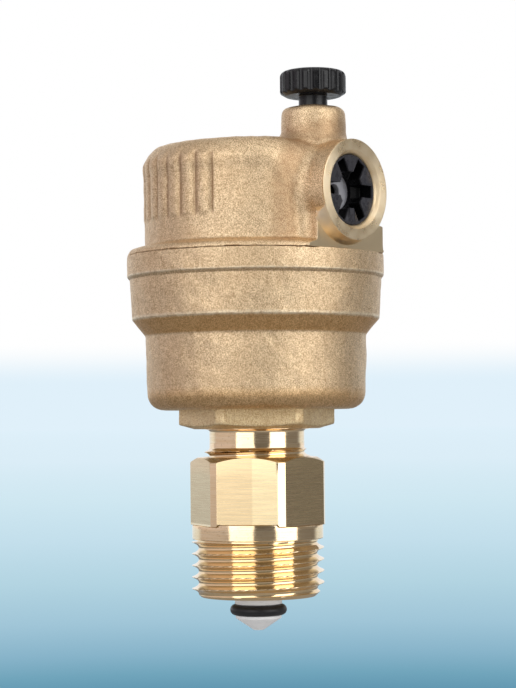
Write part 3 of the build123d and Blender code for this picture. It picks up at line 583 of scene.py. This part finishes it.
# %% Outlet insert
FACE_FROM, FACE_SHIFT, EDGE_BREAK = 19.0, 0.45, 0.1
insert = merged_copy("outlet_insert", "slotted_insert")
bevel = insert.modifiers.new("moulded_edges", "BEVEL")
bevel.width, bevel.segments = EDGE_BREAK * MM, 2
bevel.limit_method, bevel.angle_limit = "ANGLE", radians(50)
bevel.use_clamp_overlap = True
apply_modifiers(insert)
spots = vectors(insert.data.vertices, "co") / MM
spots[:, 0] += FACE_SHIFT * (spots[:, 0] > FACE_FROM)
put_back(insert, spots, 40)
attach(insert, "vent")
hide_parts("outlet_insert")

# %% [markdown]
# Every finish is worked out from Object coordinates in millimetres, so it stays on the piece when the
# piece moves. A small class wraps a socket, so that shader maths reads like arithmetic.

# %% Shader arithmetic
class Field:
    """One output of a shader node that adds, subtracts, multiplies and divides like a number."""

    def __init__(self, tree, socket):
        self.tree, self.socket = tree, socket

    def node(self, kind, settings=None, inputs=None, output=0):
        """Any node: its settings first, then the values or links of its sockets."""
        made = self.tree.nodes.new("ShaderNode" + kind)
        for key, value in (settings or {}).items():
            if key == "stops":
                ramp = made.color_ramp.elements
                for place, colour in value[1:-1]:
                    ramp.new(place)
                ordered = sorted(ramp, key=lambda element: element.position)
                for element, (place, colour) in zip(ordered, sorted(value)):
                    element.position, element.color = place, colour
            else:
                setattr(made, key, value)
        for key, value in (inputs or {}).items():
            if isinstance(value, Field):
                self.tree.links.new(value.socket, made.inputs[key])
            else:
                made.inputs[key].default_value = value
        return Field(self.tree, made.outputs[output])

    def maths(self, operation, *others, swapped=False):
        """A Math node with this field and others as its inputs."""
        values = [self, *others][::-1] if swapped else [self, *others]
        return self.node("Math", {"operation": operation}, dict(enumerate(values)))

    def __add__(self, other):
        return self.maths("ADD", other)

    def __sub__(self, other):
        return self.maths("SUBTRACT", other)

    def __rsub__(self, other):
        return self.maths("SUBTRACT", other, swapped=True)

    def __mul__(self, other):
        return self.maths("MULTIPLY", other)

    def __truediv__(self, other):
        return self.maths("DIVIDE", other)

    __radd__ = __add__
    __rmul__ = __mul__

    def band(self, low, high, from_value=0.0, to_value=1.0):
        """from_value below low, to_value above high, and a smooth rise between."""
        return self.node("MapRange", {"interpolation_type": "SMOOTHSTEP"},
                         {"Value": self, "From Min": low, "From Max": high,
                          "To Min": from_value, "To Max": to_value})

    def fall(self, low, high):
        """1 below low, 0 above high, and a smooth fall between."""
        return self.band(low, high, 1.0, 0.0)

    def near(self, place, low, high):
        """1 within low of a place, 0 further than high from it."""
        return (self - place).maths("ABSOLUTE").fall(low, high)

    def long_side(self, other):
        """The square root of the sum of both squares."""
        return (self * self + other * other).maths("SQRT")

    def parts(self):
        """X, Y and Z of a vector."""
        split = self.node("SeparateXYZ", {}, {0: self})
        return [Field(self.tree, output) for output in split.socket.node.outputs]

    def stretched(self, x, y, z):
        """The vector multiplied by three numbers."""
        return self.node("VectorMath", {"operation": "MULTIPLY"}, {0: self, 1: (x, y, z)})

    def noise(self, scale, detail=2.0, roughness=0.5):
        """Cloudy noise read at this vector, about 0.5 in the middle."""
        return self.node("TexNoise", {}, {"Vector": self, "Scale": scale, "Detail": detail,
                                          "Roughness": roughness})

    def blend(self, below, above):
        """Mix two colours or fields of colour by this field."""
        return self.node("Mix", {"data_type": "RGBA"}, {"Factor": self, 6: below, 7: above}, 2)

    def between(self, below, above):
        """Mix two numbers or fields of numbers by this field."""
        return self.node("Mix", {"data_type": "FLOAT"}, {"Factor": self, 2: below, 3: above})


# %% [markdown]
# A finish is one Principled shader and what feeds it. What is the same all over a surface is set on the
# shader's own socket. Colours are written as they look in a picture, from 0 to 255.

# %% Finishes
class Finish:
    """A material whose base is one Principled shader."""

    def __init__(self, name, **constants):
        self.material = bpy.data.materials.new(name)
        self.material.use_nodes = True
        self.tree = self.material.node_tree
        self.shader = self.tree.nodes["Principled BSDF"]
        coordinates = self.tree.nodes.new("ShaderNodeTexCoord")
        metres = Field(self.tree, coordinates.outputs["Object"])
        self.at = metres.stretched(1000, 1000, 1000)
        for key, value in constants.items():
            self.shader.inputs[key.replace("_", " ")].default_value = value

    def feed(self, socket, field):
        """Link a field to one of the shader's sockets."""
        self.tree.links.new(field.socket, self.shader.inputs[socket])

    def bump(self, height, depth_mm, normal=None):
        """Relief: a height field from 0 to 1 stands for depth_mm millimetres."""
        inputs = {"Height": height, "Distance": depth_mm * MM, "Strength": 1.0}
        if normal:
            inputs["Normal"] = normal
        return height.node("Bump", {}, inputs)

    def give(self, *pieces):
        """Put the material on pieces, in place of what they had."""
        for piece in pieces:
            piece.data.materials.clear()
            piece.data.materials.append(self.material)
        print(self.material.name, "is on", [piece.name for piece in pieces])


def rgb(red, green, blue):
    """A colour of a picture, 0 to 255, as the linear colour that a shader wants."""
    c = np.array([red, green, blue]) / 255
    return (*np.where(c <= 0.04045, c / 12.92, ((c + 0.055) / 1.055) ** 2.4).tolist(), 1.0)

# %% [markdown]
# Shot-blasted brass is matt because its skin is all tiny dents. Grain of about a quarter millimetre
# goes into the relief and slightly into the colour, where dents keep dirt and peaks are rubbed bright.
# First come the masks. The outlet's spot face was milled, down a slanted line from the ring. The two
# edges under the rim get painted highlights. Painted shade darkens the grooves between the ribs, the
# hollow corner beside the outlet and the deep bore.

# %% Where the casting is milled, and where light and shade are painted
cast = Finish("cast_brass", Metallic=1.0)
cast_x, cast_y, cast_z = cast.at.parts()
coarse = cast.at.noise(1.5)
grain = cast.at.noise(7.2, 2.0, 0.65) * 0.84 + coarse * 0.16
up = cast_z - OUTLET_Z
from_bore = up.long_side(cast_y)
slant = from_bore - (50.4 - cast_z) - cast_y.band(2.0, 4.0) * 5.0
milled = cast_x.band(SPOT_FACE - 0.12, SPOT_FACE - 0.04) * cast_z.band(SEAM - 0.06, SEAM - 0.02)
milled = milled * slant.fall(RING - 0.1, RING + 0.1) * cast_z.fall(50.0, 50.5)
# Painted shade: deep inside the outlet's bore the casting is coloured nearly black.
painted_cast_bore_shade = from_bore.fall(5.6, 6.0) * cast_x.band(8.0, 9.0)
# Painted highlights: light bands along the two edges under the rim, broken up by noise.
painted_edge_highlight = cast_z.near(34.5, 0.12, 0.5) + cast_z.near(41.15, 0.08, 0.3)
painted_edge_highlight = painted_edge_highlight * coarse.band(0.38, 0.6, 0.4, 1.0)

back, left = cast_x * -1.0, cast_y * -1.0
rib_span = radians(180 - RIB_START)
from_back = left.maths("ARCTAN2", back)
rib_place = from_back * (RIB_COUNT / 2 / rib_span) + RIB_COUNT / 2
# Painted shade: the grooves between the ribs are coloured darker; groove is this mask.
groove = rib_place.maths("PINGPONG", 0.5).fall(0.0, 0.3)
groove = groove * from_back.maths("ABSOLUTE").fall(rib_span, rib_span + 0.03)
groove = groove * cast_z.band(RIB_LOW, RIB_LOW + 1.0) * cast_z.fall(RIB_HIGH - 1.2, RIB_HIGH)
groove = groove * back.long_side(left).band(16.4, 16.9)
# Painted shade: the hollow corner between the wall and the outlet's barrel is coloured darker.
from_foot = up.maths("MAXIMUM", 0.0).long_side(cast_y)
painted_corner_shade = from_foot.band(7.7, 8.6) * from_foot.fall(10.4, 12.0) * cast_x.band(8.0, 12.0)
painted_corner_shade = painted_corner_shade * cast_z.band(SEAM + 1.0, SEAM + 2.0)
print("masks of the casting take", len(cast.tree.nodes), "nodes")

# %% [markdown]
# The skin's colour is laid on in turn: the grain's two tones, large clouds, a yellower foot, painted
# warm shade on the undersides of the bowl and its step, painted shade in the rib grooves and the hollow
# corner, and painted highlights on the two edges under the rim, on top.

# %% Cast brass
skin = grain.band(0.4, 0.6).blend(rgb(182, 151, 115), rgb(250, 225, 186))
skin = (cast.at.noise(0.16).band(0.35, 0.7) * 0.22).blend(skin, rgb(212, 177, 134))
# Painted warm shade on the undersides of the bowl, its step and the bottom rounding.
painted_warm_shade = grain.band(0.4, 0.6).blend(rgb(188, 140, 84), rgb(246, 202, 140))
yellow = grain.band(0.4, 0.6).blend(rgb(222, 186, 132), rgb(255, 236, 190))
skin = (cast_z.fall(20.0, 20.6) * 0.65).blend(skin, yellow)
skin = (cast_z.band(20.2, 20.6) * cast_z.band(22.0, 24.0, 0.6, 0.0)).blend(skin, painted_warm_shade)
skin = (cast_z.band(31.7, 32.1) * cast_z.band(34.1, 34.5, 0.8, 0.0)).blend(skin, painted_warm_shade)
# Painted shade in the grooves between the ribs and in the hollow corner beside the outlet.
skin = (groove * 0.42).blend(skin, rgb(126, 92, 64))
skin = (painted_corner_shade * 0.45).blend(skin, rgb(156, 116, 80))
skin = (painted_edge_highlight * 0.6).blend(skin, rgb(252, 236, 206))
cast.feed("Base Color", painted_cast_bore_shade.blend(milled.blend(skin, rgb(246, 224, 186)), rgb(30, 24, 18)))
cast.feed("Roughness", milled.between(grain.band(0.3, 0.7, 0.5, 0.38) - painted_edge_highlight * 0.08, 0.3))
round_marks = from_bore.node("CombineXYZ", {}, {0: from_bore}).noise(6.0, 2.0, 0.7)
cast.feed("Normal", cast.bump(milled.between(grain, round_marks * 0.6), 0.07))
cast.give(bowl, cap)

# %% [markdown]
# Turned brass is nearly a mirror with fine rings left by the tool. The rings run round the axis, so
# their relief is noise read along Z, stretched out sideways. The hexagon was milled flat, and its
# faces carry a softer haze. The front flat was milled in two passes. Specks stain the neck and collar.

# %% Turned and milled brass
machined = Finish("machined_brass", Metallic=1.0)
brass_x, brass_y, brass_z = machined.at.parts()
tool_rings = machined.at.stretched(0.15, 0.15, 9.0).noise(1.0, 3.0, 0.6)
haze = machined.at.stretched(0.2, 0.2, 6.0).noise(1.0)
from_axis = brass_x.long_side(brass_y)
on_flats = brass_z.band(2.4, 2.6) * brass_z.fall(12.6, 12.8) * from_axis.fall(10.6, 10.617)
bright = haze.band(0.3, 0.7).blend(rgb(242, 212, 168), rgb(250, 226, 188))
stained = machined.at.noise(3.2, 3.0, 0.7).band(0.58, 0.68)
stained = stained * (brass_z.band(13.4, 14.4) + brass_z.fall(2.2, 3.0))
bright = (stained * 0.4).blend(bright, rgb(150, 124, 86))
# Painted shade: the thread's roots are a little darker than its crests.
painted_thread_root_shade = from_axis.band(9.4, 10.0).blend(rgb(244, 214, 168), rgb(252, 230, 194))
bright = brass_z.band(-0.3, 0.0).blend(painted_thread_root_shade, bright)
front = radians(FRONT_FLAT)
outwards = brass_x * cos(front) + brass_y * sin(front)
sideways = brass_y * cos(front) - brass_x * sin(front)
second_pass = outwards.band(9.3, 9.4) * sideways.band(0.7, 0.85)
milled_flat = second_pass.blend(rgb(214, 191, 151), rgb(224, 204, 163))
machined.feed("Base Color", on_flats.blend(bright, milled_flat))
machined.feed("Roughness", haze.band(0.3, 0.7, 0.08, 0.15) + on_flats * 0.16)
machined.feed("Normal", machined.bump(tool_rings * (1.0 - on_flats * 0.75), 0.004))
machined.give(valve_body, nipple, nodes["vent_nozzle"])

# %% [markdown]
# The outlet's ring was cut across its face, so its marks run round the outlet's axis: a sine wave of
# the distance from it on the face, and softer noise on the walls. Painted shade makes the deep bore
# dark.

# %% Faced brass
CUT_PITCH = 0.12
faced = Finish("faced_brass", Metallic=1.0)
faced_x, faced_y, faced_z = faced.at.parts()
from_ring_axis = (faced_z - OUTLET_Z).long_side(faced_y)
wall_marks = faced_x.node("CombineXYZ", {}, {0: from_ring_axis, 1: faced_x}).noise(6.0, 2.0, 0.7)
cloud = faced.at.noise(0.5)
on_face = faced_x.band(20.3, 20.36)
within = from_ring_axis.fall(6.6, 7.0)
face_tone = cloud.band(0.3, 0.7).blend(rgb(248, 222, 180), rgb(255, 234, 198))
ring_tone = (on_face + within).maths("MINIMUM", 1.0).blend(rgb(250, 232, 202), face_tone)
# Painted shade: deep in the bore the ring's colour is nearly black.
painted_deep_bore_shade = faced_x.fall(17.8, 19.2) * within
faced.feed("Base Color", painted_deep_bore_shade.blend(ring_tone, rgb(20, 16, 12)))
faced.feed("Roughness", cloud.band(0.3, 0.7, 0.38, 0.48) - on_face * 0.12)
cuts = (from_ring_axis * (tau / CUT_PITCH)).maths("SINE") * 0.5 + 0.5
soft_marks = faced.bump(wall_marks * (1.0 - on_face), 0.03)
faced.feed("Normal", faced.bump(cuts * on_face, 0.013, soft_marks))
faced.give(outlet_ring)

# %% [markdown]
# A moulding is never quite even: soft patches differ a little in colour and gloss, and a faint grain
# breaks the shine. One helper gives that, and each material adds what is its own. The knob is dusty,
# the insert's slots and socket are darkened with painted shade and its socket's floor made pale with a
# painted highlight, and the white plunger has a faint painted glow. The seals are smooth rubber.

# %% Mouldings and rubber
def uneven(finish, patch, dark, light, glossy, matt, grain_scale, depth):
    """Two near colours and roughnesses in patches of noise, and a fine relief. Returns the colour."""
    patches = finish.at.noise(patch)
    finish.feed("Roughness", patches.band(0.3, 0.7, glossy, matt))
    finish.feed("Normal", finish.bump(finish.at.noise(grain_scale), depth))
    return patches.band(0.3, 0.7).blend(rgb(*dark), rgb(*light))


black = Finish("black_moulding", Metallic=0.0, IOR=1.42)
black_tone = uneven(black, 1.1, (14, 14, 17), (20, 20, 23), 0.26, 0.36, 7.0, 0.006)
dust = black.at.noise(6.5, 2.0, 0.6).band(0.7, 0.74) * 0.5
black.feed("Base Color", dust.blend(black_tone, rgb(170, 170, 170)))
black.give(knob)

shaded = Finish("shaded_moulding", Metallic=0.0, IOR=1.22)
teeth = uneven(shaded, 1.1, (54, 54, 59), (63, 63, 68), 0.24, 0.34, 7.0, 0.006)
shaded_x = shaded.at.parts()[0]
# Painted shade: below the face the slots and socket are nearly black.
painted_slot_shade = shaded_x.band(19.2, 19.6).blend(rgb(6, 6, 7), teeth)
# Painted highlight: the socket's floor is coloured pale.
shaded.feed("Base Color", shaded_x.band(16.4, 16.6).blend(rgb(176, 176, 182), painted_slot_shade))
shaded.give(insert)

# Painted glow: a faint emission makes the white plunger shine, though it is no lamp.
white = Finish("white_moulding_painted_glow", Metallic=0.0, IOR=1.5, Emission_Strength=0.1)
white.feed("Base Color", uneven(white, 0.9, (240, 240, 240), (250, 250, 249), 0.3, 0.42, 4.0, 0.008))
white.give(foot, wings, nodes["plunger_head"])

natural = Finish("natural_moulding", Metallic=0.0, IOR=1.5)
natural.feed("Base Color", uneven(natural, 0.5, (222, 218, 204), (234, 231, 220), 0.35, 0.5, 3.0, 0.008))
natural.give(*[nodes[n] for n in ("float_shell", "float_lid", "float_lever")])

rubber = Finish("seal_rubber", Metallic=0.0, IOR=1.5)
rubber.feed("Base Color", uneven(rubber, 1.5, (28, 28, 31), (37, 37, 40), 0.38, 0.5, 6.0, 0.006))
rubber.give(seal, *[nodes[n] for n in ("nipple_seal", "cap_seal", "closing_screw_seal", "nozzle_seal",
                                       "lever_pad")])

# %% [markdown]
# Spring, bracket, screws and pins are drawn stainless steel. They hide inside, so fine lines across
# one direction are enough.

# %% Spring steel
steel = Finish("spring_steel", Metallic=1.0)
drawn = steel.at.stretched(1.0, 8.0, 1.0).noise(1.0)
steel.feed("Base Color", drawn.band(0.3, 0.7).blend(rgb(176, 174, 170), rgb(206, 204, 200)))
steel.feed("Roughness", drawn.band(0.3, 0.7, 0.26, 0.38))
steel.feed("Normal", steel.bump(drawn, 0.004))
steel.give(*[nodes[n] for n in ("plunger_spring", "lever_bracket", "bracket_screws", "lever_pin",
                                "float_pin")])

# %% [markdown]
# The photograph's backdrop is white above and turns to a deepening blue below, like a sheet that lies
# on a table. Here the floor is a wide disc well below the part, blue only for the camera's own rays, so
# the brass doesn't turn blue. It keeps part of its real shading, and so the part's shadow. Far out the
# disc stands in for the studio: where turned brass mirrors it, it glows like the pale backdrop behind
# the part and like the dim wall on the left.

# %% Floor disc
FLOOR_Z, FLOOR_THICK, TO_CAMERA = -60.0, 2.0, radians(-48.7)
spokes = round_angles(96)
floor_reach = np.geomspace(20.0, 40000.0, 40)[:, None]
disc = turn_about_z(floor_reach, FLOOR_Z + 0 * floor_reach, spokes)
under = turn_about_z(floor_reach[::-1], FLOOR_Z - FLOOR_THICK + 0 * floor_reach, spokes)
floor = poled_surface("floor", np.concatenate([disc, under]))

# %% Floor finish
ground = Finish("pale_floor", Roughness=0.8, Metallic=0.0)
ground_x, ground_y = ground.at.parts()[:2]
from_centre = ground_x.long_side(ground_y)
far = from_centre.maths("LOGARITHM", 10.0)
blues = [(0.0, rgb(90, 150, 178)), (0.031, rgb(110, 167, 191)), (0.066, rgb(136, 183, 206)),
         (0.12, rgb(162, 201, 220)), (0.195, rgb(181, 215, 229)), (0.283, rgb(196, 224, 237)),
         (0.395, rgb(207, 231, 241)), (0.576, rgb(219, 237, 247)), (1.0, rgb(223, 240, 250))]
tint = far.node("ValToRGB", {"stops": blues}, {"Fac": (far - 2.44) / 2.05})
matt_floor = tint.node("BsdfDiffuse", {}, {"Color": (0.38, 0.38, 0.38, 1.0)})
shown = tint.node("Emission", {}, {"Color": tint, "Strength": 1.0})
pale = tint.node("Emission", {}, {"Color": (0.84, 0.93, 1.0, 1.0), "Strength": 1.0})
dim = tint.node("Emission", {}, {"Color": (0.60, 0.555, 0.575, 1.0), "Strength": 1.0})
seen, mirrored = tint.node("LightPath", {}, {}, 0), tint.node("LightPath", {}, {}, 3)
backwards = (ground_x * -cos(TO_CAMERA) - ground_y * sin(TO_CAMERA)) / from_centre
leftwards = (ground_x * sin(TO_CAMERA) - ground_y * cos(TO_CAMERA)) / from_centre
far_mirrored = mirrored * far.band(2.6, 3.1)
lit = tint.node("MixShader", {}, {0: far_mirrored * leftwards.band(0.5, 0.95), 1: matt_floor, 2: dim})
lit = tint.node("MixShader", {}, {0: far_mirrored * backwards.band(0.4, 0.65), 1: lit, 2: pale})
surface = tint.node("MixShader", {}, {0: seen * far.band(2.3, 3.3, 0.9, 1.0), 1: lit, 2: shown})
ground.tree.links.new(surface.socket, ground.tree.nodes["Material Output"].inputs["Surface"])
ground.tree.nodes.remove(ground.shader)
ground.give(floor)

# %% [markdown]
# The world is what the brass mirrors above the floor: the pale backdrop behind the part, a warm dim wall
# on the left and some light from above. The camera's own rays see white instead, which meets the blue
# of the far floor at the horizon.

# %% World
world = bpy.data.worlds.new("studio")
bpy.context.scene.world = world
world.use_nodes = True
sky_tree = world.node_tree
direction = Field(sky_tree, sky_tree.nodes.new("ShaderNodeTexCoord").outputs["Generated"])
way_x, way_y, way_z = direction.parts()
facing = way_x * cos(TO_CAMERA) + way_y * sin(TO_CAMERA)
leftward = way_x * sin(TO_CAMERA) - way_y * cos(TO_CAMERA)
behind = facing.band(-0.74, -0.55, 0.72, 0.0)
left_wall = leftward.band(0.5, 0.95)
walls = left_wall * 0.43 + 0.24 - facing.band(0.75, 0.93, 0.0, 0.08)
overhead = way_z.band(0.35, 0.95, 0.0, 0.24)
level = (behind + walls + overhead).maths("MINIMUM", 1.0)
studio = level.node("CombineColor", {}, {0: level - behind * 0.06, 1: level * 0.97 - left_wall * 0.04,
                                         2: level * 0.94 + left_wall * 0.02 + behind * 0.1})
drop = way_z.band(0.02, 0.042).blend(rgb(224, 240, 250), (1.0, 1.0, 1.0, 1.0))
by_camera = direction.node("LightPath", {}, {}, 0)
sky = sky_tree.nodes["Background"]
sky_tree.links.new(by_camera.blend(studio, drop).socket, sky.inputs["Color"])
sky.inputs["Strength"].default_value = 1.0
print("world", world.name, "has", len(sky_tree.nodes), "nodes")

# %% [markdown]
# The bright bands on the turned neck tell where the lamps stood: a large soft one left of the camera,
# another to its right, and dark gaps between and beside them. A weak third one hangs above.

# %% Soft boxes
AIM = Vector((0, 0, 0.03))


def soft_box(name, azimuth, elevation, distance, width, height, radiance):
    """A rectangular lamp that faces the part. Its power is radiance * pi * area."""
    lamp = bpy.data.lights.new(name, "AREA")
    lamp.shape, lamp.size, lamp.size_y = "RECTANGLE", width, height
    lamp.energy = radiance * pi * width * height
    a, e = TO_CAMERA + radians(azimuth), radians(elevation)
    way = Vector((cos(a) * cos(e), sin(a) * cos(e), sin(e)))
    holder = bpy.data.objects.new(name, lamp)
    holder.location = AIM + way * distance
    holder.rotation_euler = way.to_track_quat("Z", "Y").to_euler()
    bpy.context.scene.collection.objects.link(holder)


soft_box("left_box", -29, 14, 0.60, 0.50, 0.70, 1.7)
soft_box("right_box", 52, 14, 0.60, 0.46, 0.70, 2.3)
soft_box("top_box", 10, 75, 0.70, 0.60, 0.40, 0.7)
print("lamps", [lamp.name for lamp in bpy.data.lights])

# %% [markdown]
# The camera stands where the photograph's perspective puts it: a third of a metre away, a little
# above the foot of the bowl, tipped up by 2.3 degrees and rolled by 0.55, because the part leans
# slightly.

# %% Camera
CAMERA_AT, FOCAL_LENGTH = (209.46, -237.95, 17.8), 105.3
tip, roll = radians(2.3), radians(0.55)
ahead = Vector((-cos(TO_CAMERA) * cos(tip), -sin(TO_CAMERA) * cos(tip), sin(tip)))
sidelong = ahead.cross(Vector((0, 0, 1))).normalized()
upright = sidelong.cross(ahead)
right = sidelong * cos(roll) - upright * sin(roll)
top = upright * cos(roll) + sidelong * sin(roll)
lens = bpy.data.cameras.new("view")
lens.lens, lens.sensor_width, lens.clip_end = FOCAL_LENGTH, 36.0, 100.0
camera = bpy.data.objects.new("view", lens)
camera.matrix_world = Matrix((right, top, -ahead)).transposed().to_4x4()
camera.location = Vector(CAMERA_AT) * MM
bpy.context.scene.collection.objects.link(camera)
bpy.context.scene.camera = camera
bpy.context.scene.view_settings.view_transform = "Standard"
print("camera at", CAMERA_AT, "mm")
